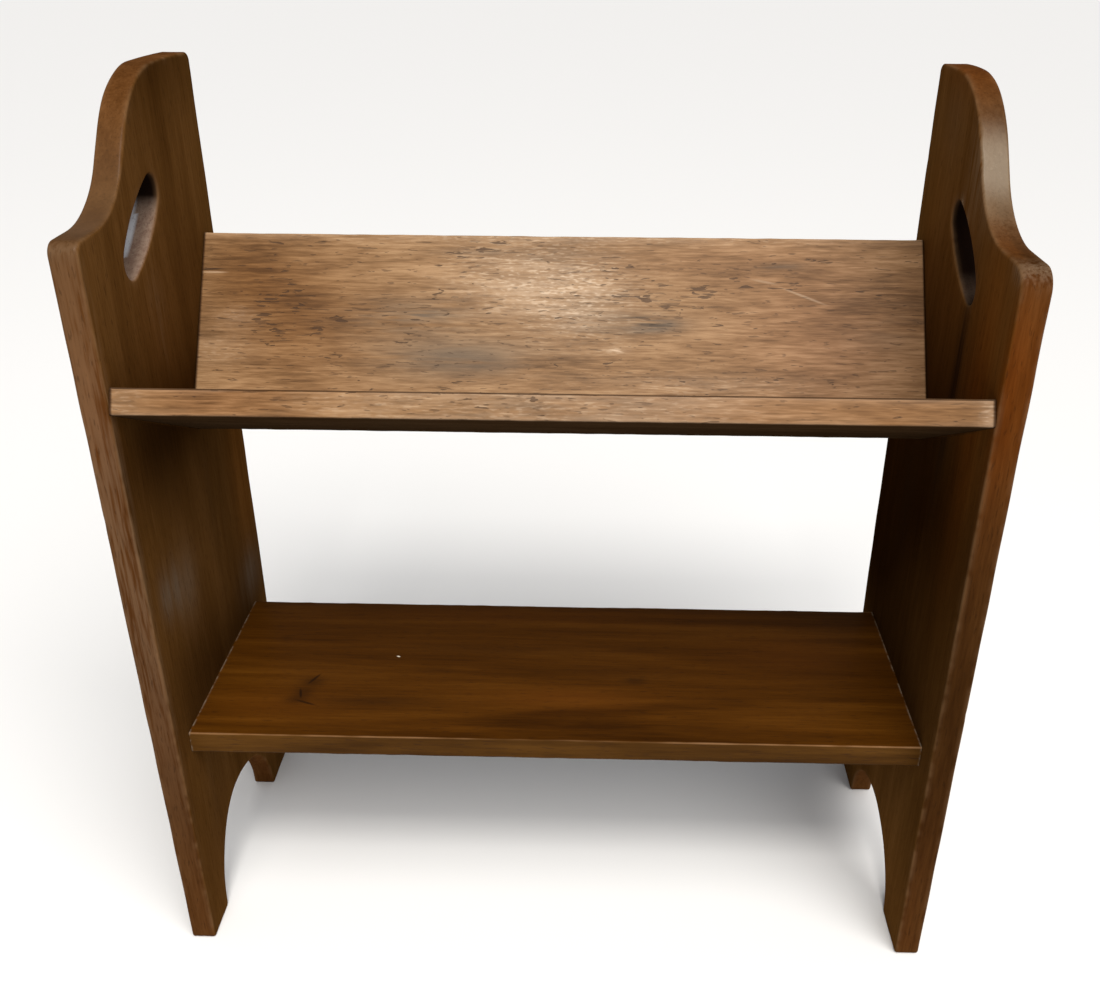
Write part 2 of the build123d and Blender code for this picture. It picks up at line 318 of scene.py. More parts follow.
def make_piece(name, points, faces, masks, stands_for, material):
    """A closed mesh object from points in millimetres with its masks, which replaces its node on the body."""
    mesh = bpy.data.meshes.new(name)
    mesh.from_pydata((points * MM).tolist(), [], [face for group in faces for face in group.tolist()])
    for mask, values in masks.items():
        mesh.attributes.new(mask, "FLOAT", "POINT").data.foreach_set("value", values.astype(np.float32))
    shape = bmesh.new()
    shape.from_mesh(mesh)
    bmesh.ops.dissolve_degenerate(shape, dist=1e-7, edges=shape.edges)
    bmesh.ops.recalc_face_normals(shape, faces=shape.faces)
    shape.to_mesh(mesh)
    shape.free()
    mesh.shade_smooth()
    mesh.set_sharp_from_angle(angle=math.radians(SHARP_ANGLE))
    mesh.materials.append(material)
    piece = stood(name, mesh)
    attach(piece, "root")
    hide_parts(stands_for)
    return piece


# the finishes

RELIEF = 0.6 * MM


class Value:
    """A shader value. Arithmetic on it adds the Math node that does it."""

    def __init__(self, finish, socket):
        self.finish, self.socket = finish, socket

    def reckon(self, operation, *values):
        return self.finish.node("ShaderNodeMath", {"operation": operation}, dict(enumerate(values)))

    def __add__(self, other):
        return self.reckon("ADD", self, other)

    def __sub__(self, other):
        return self.reckon("SUBTRACT", self, other)

    def __rsub__(self, other):
        return self.reckon("SUBTRACT", other, self)

    def __mul__(self, other):
        return self.reckon("MULTIPLY", self, other)

    __radd__, __rmul__ = __add__, __mul__

    def most(self, other):
        """The larger of two values."""
        return self.reckon("MAXIMUM", self, other)

    def band(self, low, high):
        """0 below low, 1 above high and an even turn between; the other way round where low is higher."""
        return self.finish.node("ShaderNodeMapRange", {"interpolation_type": "SMOOTHSTEP"}, {
            "Value": self, "From Min": low, "From Max": high, "To Min": 0.0, "To Max": 1.0})


class Finish:
    """One material, built node by node on its shader."""

    def __init__(self, name, **constants):
        self.material = bpy.data.materials.new(name)
        self.material.use_nodes = True
        self.tree = self.material.node_tree
        self.shader = self.tree.nodes["Principled BSDF"]
        for socket, value in constants.items():
            self.shader.inputs[socket.replace("_", " ")].default_value = value

    def node(self, kind, settings, values, output=0):
        """A node of a type, with its settings made first and then its sockets' values and links."""
        node = self.tree.nodes.new(kind)
        for setting, value in settings.items():
            if setting == "stops":
                ramp = node.color_ramp.elements
                while len(ramp) < len(value):
                    ramp.new(0.5)
                for stop, (position, colour) in zip(ramp, value):
                    stop.position, stop.color = position, (*colour, 1.0)
            else:
                setattr(node, setting, value)
        for socket, value in values.items():
            self.set(node.inputs[socket], value)
        return Value(self, node.outputs[output])

    def set(self, socket, value):
        """Links a value to a socket, or stands a number or colour on it."""
        if isinstance(value, Value):
            self.tree.links.new(value.socket, socket)
        elif isinstance(value, tuple) and len(value) == 3 and socket.type == "RGBA":
            socket.default_value = (*value, 1.0)
        else:
            socket.default_value = value

    def place(self, turn=(0, 0, 0), shift=(0, 0, 0)):
        """Places in the piece's own metres, turned so that the grain runs along X."""
        own = self.node("ShaderNodeTexCoord", {}, {}, "Object")
        return self.node("ShaderNodeMapping", {}, {"Vector": own, "Location": shift, "Rotation": turn})

    def noise(self, place, along, across, detail=2.0, rough=0.55, twist=0.0):
        """Cloudy noise with so many turns to the metre along the grain and across it."""
        turns = (along, across, across)
        drawn = self.node("ShaderNodeVectorMath", {"operation": "MULTIPLY"}, {0: place, 1: turns})
        return self.node("ShaderNodeTexNoise", {}, {
            "Vector": drawn, "Scale": 1.0, "Detail": detail, "Roughness": rough, "Distortion": twist})

    def ramp(self, tone, *stops):
        """Colours at positions of a tone, and even turns between them."""
        return self.node("ShaderNodeValToRGB", {"stops": stops}, {"Fac": tone})

    def mix(self, share, a, b, blend="MIX"):
        """Two colours mixed by a share."""
        settings = {"data_type": "RGBA", "blend_type": blend}
        return self.node("ShaderNodeMix", settings, {0: share, 6: a, 7: b}, 2)

    def coats(self, colour, *layers):
        """A colour under further ones in turn, each laid on by its share."""
        for share, shade in layers:
            colour = self.mix(share, colour, shade)
        return colour

    def glazes(self, colour, *layers):
        """A colour seen through glazes in turn, each as strong as its mask."""
        for mask, glaze in layers:
            colour = self.mix(self.mask(mask), colour, glaze, "MULTIPLY")
        return colour

    def mask(self, name):
        """A value that the mesh carries at its points."""
        return self.node("ShaderNodeAttribute", {"attribute_name": name}, {}, "Fac")

    def strokes(self, place, lines):
        """Oval marks in the grain's metres, each turned by its slope and strongest at its middle."""
        layers = []
        for centre, slope, half, strength, shade in lines:
            own = self.node("ShaderNodeMapping", {"vector_type": "TEXTURE"}, {
                "Vector": place, "Location": centre, "Rotation": (0, 0, slope), "Scale": half})
            away = self.node("ShaderNodeVectorMath", {"operation": "LENGTH"}, {0: own}, 1)
            layers.append((away.band(1, 0.3) * strength, shade))
        return layers

    def finish(self, colour, rough, height, bump):
        """Links the colour, the roughness and the bump, which stands up by the relief."""
        self.set(self.shader.inputs["Base Color"], colour)
        self.set(self.shader.inputs["Roughness"], rough)
        values = {"Strength": bump, "Distance": RELIEF, "Height": height}
        relief = self.node("ShaderNodeBump", {}, values)
        self.set(self.shader.inputs["Normal"], relief)
        return self.material


# turns that lay each board's grain along X, and shifts that give each its own part of the pattern
GRAIN_UP = (0, math.pi / 2, 0)
GRAIN_FRONT = (FRONT_LEAN, 0, 0)
GRAIN_BACK = (-BACK_LEAN, 0, 0)
SHELF_SHIFT, NOSE_SHIFT, BACK_SHIFT = (0.3, 0.1, 0.2), (0.2, 0.3, 0.1), (0.6, 0.1, 0.5)
END_SHIFT, PLUG_SHIFT = (0.1, 0.4, 0.2), (0.7, 0.1, 0.4)


def trough_finish(name, turn, shift, lines=()):
    """Tan old wood, dry and open in the pores, with torn ticks, stains, worn pale places and scratches, dark
    joints, a painted sheen and painted glints on the pale places, and painted shade under the board and
    behind the front board's nose.
    """
    golden, ruddy = (0.64, 0.51, 0.33), (1.0, 0.90, 0.92)
    grey, wear_and_sheen_tone, painted_glint = (0.10, 0.080, 0.060), (0.60, 0.46, 0.33), (0.80, 0.66, 0.50)
    torn, bared = (0.052, 0.026, 0.013), (0.44, 0.29, 0.18)
    joint_dirt_and_shade, painted_under_shade = (0.026, 0.011, 0.005), (0.014, 0.007, 0.003)
    wood = Finish(name, Specular_IOR_Level=0.0, Coat_Roughness=0.45, Coat_IOR=1.45)
    place = wood.place(turn, shift)
    cloud = wood.noise(place, 7, 24, 3, 0.55, 0.6)
    streak = wood.noise(place, 10, 110, 3, 0.62, 0.4)
    fibre = wood.noise(place, 20, 300, 2, 0.55, 0.2)
    hair = wood.noise(place, 55, 600, 2, 0.6, 0.1)
    blotch = wood.noise(place, 24, 70, 2, 0.5, 0.4)
    tone = cloud * 0.34 + blotch * 0.14 + fibre * 0.23 + hair * 0.29
    colour = wood.ramp(
        tone, (0.39, (0.122, 0.062, 0.024)), (0.50, (0.228, 0.124, 0.054)), (0.61, (0.345, 0.206, 0.103)))
    colour = wood.glazes(colour, ("golden", golden), ("ruddy", ruddy))
    stain = wood.mask("stain") * (streak * 0.5 + cloud * 0.5).band(0.40, 0.56)
    speckle = wood.noise(place, 190, 620, 1, 0.5)
    # worn pale places, which in the back board's middle are also a painted sheen; the glints are painted
    # highlights in them
    pale = wood.mask("bleach") * ((streak * 0.3 + fibre * 0.4 + speckle * 0.3).band(0.42, 0.58) * 0.6 + 0.4)
    glint = wood.mask("bleach") * (speckle * 0.4 + hair * 0.6).band(0.54, 0.62)
    crowd = wood.mask("flecked")
    ticks = (wood.noise(place, 60, 330, 2, 0.62, 0.6) + crowd * 0.22).band(0.69, 0.735)
    small = (wood.noise(place, 90, 560, 1, 0.5, 0.4) + crowd * 0.12).band(0.67, 0.74)
    marks = ticks.most(small * 0.6)
    worn = wood.mask("wear") * streak.band(0.35, 0.6)
    # this band, near the front board's nose, is painted shade; the seam darkens the joints at the end boards
    grime = wood.mask("grime").most(wood.mask("seam").band(0.4, 0.85))
    colour = wood.coats(
        colour, (stain * 0.85, grey), (pale * 0.42, wear_and_sheen_tone), (glint * 0.28, painted_glint), (marks * 0.75, torn),
        (worn * 0.4, bared), *wood.strokes(place, lines), (grime * 0.92, joint_dirt_and_shade),
        # the underside darkened: painted shade
        (wood.mask("under") * 0.9, painted_under_shade))
    wood.set(wood.shader.inputs["Coat Weight"], (1 - wood.mask("under").most(grime)) * 0.22)
    rough = 0.52 + 0.20 * fibre
    height = fibre * 0.5 + hair * 0.6 + streak * 0.3 + speckle * 0.3 - marks * 0.9
    return wood.finish(colour, rough, height, 0.9)


def shelf_finish(lines):
    """Red-brown wood under a smooth shining coat, with dark drawn-out clouds and stains, and painted shade on
    its underside.
    """
    ruddy, dark, open_pore = (0.120, 0.036, 0.004), (0.012, 0.005, 0.002), (0.014, 0.005, 0.002)
    faded, bared, dust = (1.15, 1.5, 3.6), (0.33, 0.18, 0.085), (0.18, 0.135, 0.095)
    wood = Finish("shelf_wood", Specular_IOR_Level=0.02, Specular_Tint=(1.0, 0.7, 0.4, 1))
    place = wood.place((0, 0, 0), SHELF_SHIFT)
    cloud = wood.noise(place, 1.6, 17, 4, 0.62, 0.8)
    streak = wood.noise(place, 5, 90, 4, 0.6)
    fibre = wood.noise(place, 25, 500, 2, 0.6)
    pore = wood.noise(place, 90, 900, 1).band(0.60, 0.72)
    tone = cloud * 0.60 + streak * 0.26 + fibre * 0.14
    colour = wood.ramp(
        tone, (0.36, (0.032, 0.010, 0.0010)), (0.50, (0.066, 0.0215, 0.0018)), (0.64, (0.106, 0.037, 0.0036)))
    stain = wood.mask("stain") * cloud.band(0.3, 0.6)
    colour = wood.coats(
        colour, (wood.mask("ruddy") * 0.5, ruddy), (stain * 0.75, dark), (pore * 0.35, open_pore))
    colour = wood.glazes(colour, ("grime", faded))
    worn = wood.mask("wear").band(0.62, 1.0) * streak.band(0.34, 0.58)
    broken = wood.noise(place, 60, 60, 3, 0.75).band(0.40, 0.60)
    dusty = wood.mask("seam").band(0.6, 0.95) * broken
    colour = wood.coats(
        colour, (worn * 0.75, bared), (dusty * 0.75, dust), *wood.strokes(place, lines),
        # the underside darkened: painted shade
        (wood.mask("under") * 0.85, dark))
    rough = 0.30 + 0.10 * fibre + 0.12 * wood.mask("wear")
    return wood.finish(colour, rough, fibre * 0.25 + streak * 0.4 - pore * 0.2, 0.2)


def end_finish():
    """Dark brown wood with upright grain, worn lighter at its sawn edges and in the hand holes, with painted
    sheen, reflections and highlights, painted shade on the inner faces and edges, and painted shadow and
    light in the hand holes.
    """
    ruddy, rubbed, dim, smoked = (1.05, 0.76, 0.42), (1.7, 1.5, 1.2), (0.22, 0.18, 0.12), (0.42, 0.42, 0.36)
    dark_cut, light_cut, painted_lip_light = (0.155, 0.098, 0.072), (0.215, 0.150, 0.112), (0.48, 0.50, 0.54)
    soot, stained, open_pore = (0.006, 0.003, 0.002), (0.009, 0.005, 0.003), (0.012, 0.005, 0.002)
    wear_and_sheen_tone, reflection_grey, bared = (0.22, 0.165, 0.11), (0.135, 0.108, 0.082), (0.18, 0.10, 0.048)
    low_sheen, high_sheen, sheen_cloud = (0.094, 0.053, 0.023), (0.185, 0.138, 0.086), (0.5, 0.4, 0.3)
    speck = (0.50, 0.41, 0.29)
    wood = Finish("end_board_wood", Specular_IOR_Level=0.0, Coat_Roughness=0.32, Coat_IOR=1.4)
    place = wood.place(GRAIN_UP, END_SHIFT)
    cloud = wood.noise(place, 2.5, 18, 3, 0.6, 0.5)
    streak = wood.noise(place, 6, 120, 4, 0.62)
    fibre = wood.noise(place, 30, 480, 2, 0.6)
    pore = wood.noise(place, 100, 900, 1).band(0.60, 0.72)
    tone = cloud * 0.52 + streak * 0.24 + fibre * 0.24
    face = wood.ramp(
        tone, (0.35, (0.068, 0.028, 0.006)), (0.50, (0.100, 0.0435, 0.0105)), (0.65, (0.134, 0.061, 0.017)))
    edge = wood.ramp(
        tone, (0.34, (0.046, 0.0155, 0.0034)), (0.50, (0.082, 0.031, 0.0078)), (0.66, (0.130, 0.054, 0.0165)))
    colour = wood.mix(wood.mask("sawn"), face, edge)
    colour = wood.glazes(colour, ("ruddy", ruddy))
    # the hand hole's wall: a painted shadow darkens it, and painted light seen through the hole lightens its
    # outer rim
    cut = wood.coats(
        dark_cut, ((streak * 0.6 + fibre * 0.4).band(0.38, 0.62), light_cut),
        (wood.mask("lip") * 0.8, painted_lip_light), (wood.mask("soot"), soot))
    colour = wood.mix(wood.mask("grip"), colour, cut)
    # glazes: painted sheen over some rubbing, painted shade on the inner faces, painted shade on the edges
    colour = wood.glazes(colour, ("rubbed", rubbed), ("dim", dim), ("smoked", smoked))
    stain = wood.mask("stain") * streak.band(0.3, 0.62)
    # worn pale places, partly painted sheen
    pale = wood.mask("bleach") * (streak * 0.5 + fibre * 0.5).band(0.38, 0.56)
    # grey painted reflections on the inner faces
    veil = wood.mask("veil") * (cloud * 0.6 + streak * 0.4).band(0.30, 0.62)
    worn = wood.mask("wear") * wood.noise(place, 40, 40, 2, 0.6).band(0.38, 0.60)
    # on the crowns' edges a flat colour, lighter in the worn pale places: painted sheen over wear
    worn_sheen = wood.mix(wood.mask("bleach").band(0.1, 0.5), low_sheen, high_sheen)
    worn_sheen = wood.mix(0.35 * cloud.band(0.62, 0.38), worn_sheen, sheen_cloud, "MULTIPLY")
    # bright specks: worn specks and painted highlights on chips
    specks = wood.noise(place, 300, 420, 2, 0.6).band(0.60, 0.68) * wood.mask("bleach").band(0.35, 0.9)
    colour = wood.coats(
        colour, (stain * 0.8, stained), (pale * 0.6, wear_and_sheen_tone), (veil * 0.8, reflection_grey),
        (pore * 0.35, open_pore), (worn * 0.4, bared),
        (wood.mask("shine") * wood.mask("sawn") * 0.8, worn_sheen), (specks * 0.6, speck))
    wood.set(wood.shader.inputs["Coat Weight"], wood.mask("polish") * 0.5)
    rough = 0.42 + 0.12 * fibre
    return wood.finish(colour, rough, fibre * 0.4 + streak * 0.4 - pore * 0.3, 0.35)


def plug_finish():
    """A plug's end, of the end board's wood with closer fibres."""
    wood = Finish("plug_wood", Specular_IOR_Level=0.2)
    place = wood.place(GRAIN_UP, PLUG_SHIFT)
    streak = wood.noise(place, 60, 400, 4, 0.6)
    fibre = wood.noise(place, 500, 1400, 2, 0.6)
    colour = wood.ramp(
        streak * 0.6 + fibre * 0.4,
        (0.38, (0.020, 0.008, 0.003)), (0.52, (0.050, 0.021, 0.008)), (0.66, (0.085, 0.038, 0.015)))
    return wood.finish(colour, 0.45 + 0.15 * fibre, fibre * 0.5, 0.4)


def steel_finish():
    """Dull screw steel with fine scratches, spotted with brown rust."""
    bare, rusty = (0.30, 0.28, 0.26), (0.10, 0.045, 0.02)
    steel = Finish("screw_steel", Metallic=1.0)
    place = steel.place()
    scratch = steel.noise(place, 900, 3000, 2, 0.6)
    rust = steel.noise(place, 500, 500, 3, 0.6).band(0.48, 0.62)
    colour = steel.mix(rust * 0.7, bare, rusty)
    return steel.finish(colour, 0.38 + 0.2 * scratch + 0.2 * rust, scratch * 0.3 + rust * 0.4, 0.3)


# the boards' outlines and sections

def end_outline(end):
    """An end board's outline, from the front foot up: two arcs make the ogee, half ellipses the arch."""
    start, finish = FRONT + end.shoulder, BACK - end.top
    shoulder = end.height - end.shoulder_drop
    run = finish - start
    steep = 2 * math.atan(end.shoulder_drop / run) * STEEPNESS_SHARE
    radii = (run * math.sin(steep) - end.shoulder_drop * math.cos(steep)) / (1 - math.cos(steep))
    hollow = radii * HOLLOW_SHARE
    crown = radii - hollow
    turn = math.degrees(steep)
    top_radius = (end.top**2 + TOP_FALL**2) / (2 * TOP_FALL)
    top_centre = np.array((finish, end.height - top_radius))
    reach = BACK - TOP_ROUND - finish
    rise = math.sqrt((top_radius - TOP_ROUND) ** 2 - reach**2)
    tip = math.degrees(math.atan2(rise, reach))
    arch_front, arch_back = FRONT + end.front_foot, BACK - end.back_foot
    apex = arch_front + (arch_back - arch_front) * end.apex
    spring = math.degrees(math.asin(FOOT_ROUND / end.arch))
    return joined([
        bend((FRONT + FOOT_ROUND, FOOT_ROUND), FOOT_ROUND, 270, 180, 0.8),
        bend((FRONT + end.shoulder_round, shoulder - end.shoulder_round), end.shoulder_round, 180, 90),
        bend((start, shoulder + hollow), hollow, -90, turn - 90),
        bend((finish, end.height - crown), crown, 90 + turn, 90),
        bend(top_centre, top_radius, 90, tip, 2.5),
        bend(top_centre + (reach, rise), TOP_ROUND, tip, 0, 0.9),
        bend((BACK - FOOT_ROUND, FOOT_ROUND), FOOT_ROUND, 0, -90, 0.8),
        bend((arch_back + FOOT_ROUND, FOOT_ROUND), FOOT_ROUND, 270, 180, 0.8),
        bend((apex, 0), (arch_back - apex, end.arch), spring, 90),
        bend((apex, 0), (apex - arch_front, end.arch), 90, 180 - spring),
        bend((arch_front - FOOT_ROUND, FOOT_ROUND), FOOT_ROUND, 0, -90, 0.8),
    ])


def hand_hole(end):
    """The slanted oval: two flat arcs and two round ends that run into each other."""
    half_length, half_width = HOLE_LENGTH / 2, HOLE_WIDTH / 2
    end_centre = half_length - HOLE_ROUND
    flat = (end_centre**2 + half_width**2 - HOLE_ROUND**2) / (2 * (half_width - HOLE_ROUND))
    drop = flat - half_width
    turn = math.degrees(math.atan2(drop, end_centre))
    oval = joined([
        bend((end_centre, 0), HOLE_ROUND, -turn, turn, 1.0),
        bend((0, -drop), flat, turn, 180 - turn),
        bend((-end_centre, 0), HOLE_ROUND, 180 - turn, 180 + turn, 1.0),
        bend((0, drop), flat, 180 + turn, 360 - turn),
    ])
    tilt = math.radians(HOLE_TILT)
    spin = np.array(((math.cos(tilt), math.sin(tilt)), (-math.sin(tilt), math.cos(tilt))))
    return oval @ spin + (FRONT + end.hole_from_front, end.height - end.hole_drop)


nose_reach = NOSE_ROUND * (math.cos(FRONT_LEAN) + math.sin(FRONT_LEAN) - 1)
NOSE_LOW = np.array((FRONT - NOSE_PROUD - nose_reach, LEFT_END.height - NOSE_DROP))
NOSE_TOP = NOSE_LOW + OVER_FRONT * BOARD
heel = np.array((BACK - BACK_SETBACK, 0)) - BEHIND_BACK * BOARD
VALLEY = NOSE_TOP - UP_FRONT * (heel[0] - BACK_WIDTH * UP_BACK[0] - NOSE_TOP[0]) / -UP_FRONT[0]
BACK_TOP = VALLEY + UP_BACK * BACK_WIDTH
BACK_HEAD = BACK_TOP + BEHIND_BACK * BOARD
SEAM_LOW = meeting(NOSE_LOW, UP_FRONT, VALLEY, UP_BACK)
HEEL_LOW = meeting(NOSE_LOW, UP_FRONT, VALLEY + BEHIND_BACK * BOARD, UP_BACK)
TONGUE_NOSE = NOSE_TOP - OVER_FRONT * SHOULDER
TONGUE_VALLEY = meeting(TONGUE_NOSE, UP_FRONT, VALLEY, UP_BACK)
STEP_LOW = meeting(NOSE_LOW, UP_FRONT, VALLEY + BEHIND_BACK * SHOULDER, UP_BACK)

shelf_low, shelf_high = np.array(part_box("lower_shelf")) / MM
SHELF_FRONT, SHELF_BACK, SHELF_LOW, SHELF_TOP = shelf_low[1], shelf_high[1], shelf_low[2], shelf_high[2]

# the tongues' sections; a housing has the outline of the tongues that it takes
SHELF_TONGUE = [
    (SHELF_FRONT + SHELF_STOP, SHELF_LOW), (SHELF_FRONT + SHELF_STOP, SHELF_TOP - SHOULDER),
    (SHELF_BACK, SHELF_TOP - SHOULDER), (SHELF_BACK, SHELF_LOW)]
FRONT_TONGUE = [
    NOSE_LOW - UP_FRONT * NOSE_STOP, TONGUE_NOSE - UP_FRONT * NOSE_STOP, TONGUE_VALLEY, SEAM_LOW]
BACK_TONGUE = [
    STEP_LOW, BACK_TOP - UP_BACK * TOP_STOP + BEHIND_BACK * SHOULDER,
    BACK_HEAD - UP_BACK * TOP_STOP, HEEL_LOW]
TROUGH_HOUSING = [*FRONT_TONGUE[:3], TONGUE_VALLEY + BEHIND_BACK * SHOULDER, *BACK_TONGUE[1:]]

# where the screws pass the end boards, at shares of each board's width and half its thickness
shelf_middle = (SHELF_TOP + SHELF_LOW) / 2
BORES = {
    "shelf": [np.array((SHELF_FRONT + (SHELF_BACK - SHELF_FRONT) * s, shelf_middle)) for s in (0.2, 0.8)],
    "front": [NOSE_TOP + (VALLEY - NOSE_TOP) * s - OVER_FRONT * BOARD / 2 for s in (0.3, 0.8)],
    "back": [VALLEY + (BACK_TOP - VALLEY) * s + BEHIND_BACK * BOARD / 2 for s in (0.2, 0.75)],
}


# the worn boards

def painted(places, table):
    """How strongly each place is marked: bell curves of the distance to each mark over its half sizes."""
    marks = {}
    for mask, rows in table.items():
        rows = np.array(rows, float)
        away = (places[:, None] - rows[None, :, :2]) / rows[None, :, 2:4]
        marks[mask] = np.clip((np.exp(-(away**2).sum(2)) * rows[:, 4]).sum(1), 0, 1)
    return marks


def end_masks(end, loops, depth, plane, paint):
    """What an end board's points carry, from their depth below the outer face and their place in its plane.
    Wear is a bell curve of the distance to the nearest arris, sawn and grip are the outline's edge and the
    hole's wall, lip is the upper part of the hole's outer rim, where light seen through the hole is painted,
    and polish is the gloss, on the outer face and the shining crown. Painted marks are kept to the inner
    face, the edges or both; among them are painted shade, painted sheen and reflections, and painted shadow
    on the hand holes' walls."""
    to_edge, to_hole = closest(plane, loops["outline"])[1], closest(plane, loops["hole"])[1]
    from_face = np.minimum(depth, THICKNESS - depth)
    arris = np.hypot(np.minimum(to_edge, to_hole), from_face)
    on_edge, on_wall = to_edge < 1, to_hole < 1
    off_face = np.clip(from_face / FACE_TURN, 0, 1)
    rim = off_face * (on_edge | on_wall)
    inner_half = depth > THICKNESS / 2
    masks = {
        "wear": np.exp(-((arris / END_WEAR) ** 2)),
        "sawn": on_edge * off_face,
        "grip": on_wall * off_face,
        **painted(plane, paint),
    }
    for mask in ("dim", "veil"):
        masks[mask] *= inner_half * (1 - rim)
    for mask in ("stain", "bleach"):
        masks[mask] *= inner_half | (rim > 0)
    masks["rubbed"] *= inner_half
    masks["smoked"] *= rim
    masks["shine"] *= on_edge
    above_middle = plane[:, 1] - end.height + end.hole_drop
    masks["lip"] = on_wall * (depth < LIP_DEPTH) * np.clip(above_middle + LIP_BELOW, 0, LIP_TURN) / LIP_TURN
    gloss = np.maximum((depth < THICKNESS / 2) * (1 - rim), EDGE_POLISH * on_edge)
    masks["polish"] = np.maximum(gloss, masks["shine"])
    return masks


def end_board(name, end, hand, seed, chips, paint, material):
    """An end board: its outline carried round an edge profile that turns a quarter circle at each face,
    with the faces filled, the housings let in, and a stepped round bore for each screw and plug. The
    quarter circle's radius is uneven by a ripple, and larger by a bell curve round each chip. The edges
    are hollow by a sine over their depth, and the faces ripple towards each other."""
    shell = Shell()
    loops = {"outline": end_outline(end), "hole": hand_hole(end)}
    turn = np.linspace(0, math.pi / 2, EDGE_TURNS)[:, None]
    wall = np.linspace(0, 1, EDGE_STEPS + 2)[1:-1, None]
    first, last = {}, {}
    for kind, loop in loops.items():
        length = run_length(loop)[:, None]
        ease = [EDGE_EASE + EDGE_SWING * ripple(length, EDGE_WAVE, seed + k) for k in (1, 2)]
        for y, z, face, size, width in chips:
            away = np.hypot(*(loop - (y, z)).T)
            ease[face] = ease[face] + size * np.exp(-((away / width) ** 2))
        inset = np.concatenate((
            ease[0] * (1 - np.sin(turn)),
            0 * wall * ease[0],
            ease[1] * (1 - np.sin(turn[::-1])),
        ))
        depth = np.concatenate((
            ease[0] * (1 - np.cos(turn)),
            ease[0] + (THICKNESS - ease[0] - ease[1]) * wall,
            THICKNESS - ease[1] * (1 - np.cos(turn[::-1])),
        ))
        uneven = EDGE_HOLLOW * (1 + ripple(length, HOLLOW_WAVE, seed + 5))
        hollow = uneven * np.sin(math.pi * depth / THICKNESS)
        plane = loop - normals(loop) * (inset + hollow)[..., None]
        plane[..., 1] = np.maximum(plane[..., 1], 0)
        shell.add(np.concatenate((depth[..., None], plane), -1), strip(len(depth), len(loop)))
        first[kind], last[kind] = plane[0], plane[-1]
    bores = [place for group in BORES.values() for place in group]
    mouths, necks = ([ring(bore, radius) for bore in bores] for radius in (PLUG_RADIUS, NECK_RADIUS))
    deep = HOUSING + HOUSING_GAP
    outer, triangles, _ = terraced(first["outline"], [first["hole"], *mouths], [], 0.0, END_PITCH)
    shell.add(np.column_stack((outer[:, 2], outer[:, :2])), triangles)
    housings = [np.array(TROUGH_HOUSING), np.array(SHELF_TONGUE)]
    inner, triangles, walls = terraced(last["outline"], [last["hole"], *necks], housings, deep, END_PITCH)
    shell.add(np.column_stack((THICKNESS - inner[:, 2], inner[:, :2])), triangles, walls)
    steps = (
        (PLUG_RADIUS, 0.0), (PLUG_RADIUS, PLUG_DEPTH), (HEAD_RADIUS, PLUG_DEPTH),
        (HEAD_RADIUS, HEAD_DEPTH), (NECK_RADIUS, NECK_DEPTH), (NECK_RADIUS, THICKNESS - deep))
    for bore in bores:
        shell.add(*turned(bore, steps))
    points, faces = shell.settled()
    depth, plane = points[:, 0].copy(), points[:, 1:]
    masks = end_masks(end, loops, depth, plane, paint)
    planed = END_PLANED * (1 + ripple(plane, END_WAVE, seed + 7)) * (1 - 2 * depth / THICKNESS)
    points[:, 0] = hand * (OUTER - depth - planed)
    make_piece(name, points, faces, masks, name.replace("_worn", ""), material)


def board_masks(points, section, edges, across, shown, banded_side, paint):
    """What a long board's points carry: wear as a bell curve of the distance to the nearest arris, under
    where the board faces down, which the finishes darken as painted shade, seam near the end boards, and
    a band on the side that faces the given way, near an arris, which is painted shade behind the front
    board's nose and which the shelf's finish lightens on its front. Painted marks lie at X and at so far
    along the course from the start in across, and those of the surface are kept to the side that faces as
    shown."""
    away = np.min([np.hypot(*(points[:, 1:] - c).T) for c in edges], 0)
    start, course = across
    flat = np.column_stack((points[:, 0], (points[:, 1:] - start) @ course))
    facing = normals(section)[closest(points[:, 1:], section)[0]]
    from_end = np.clip(INNER - np.abs(points[:, 0]), 0, None)
    way, reach = banded_side
    masks = {
        "wear": np.exp(-((away / BOARD_WEAR) ** 2)),
        "under": np.clip(-facing[:, 1] * 1.6, 0, 1),
        "seam": np.exp(-((from_end / SEAM_REACH) ** 2)),
        "grime": np.clip(facing @ way * 4 - 1.0, 0, 1) * np.exp(-((away / reach) ** 2)),
        **painted(flat, paint),
    }
    for mask in masks.keys() & {"stain", "bleach", "flecked"}:
        masks[mask] *= np.clip(facing @ shown * 3, 0, 1)
    return masks


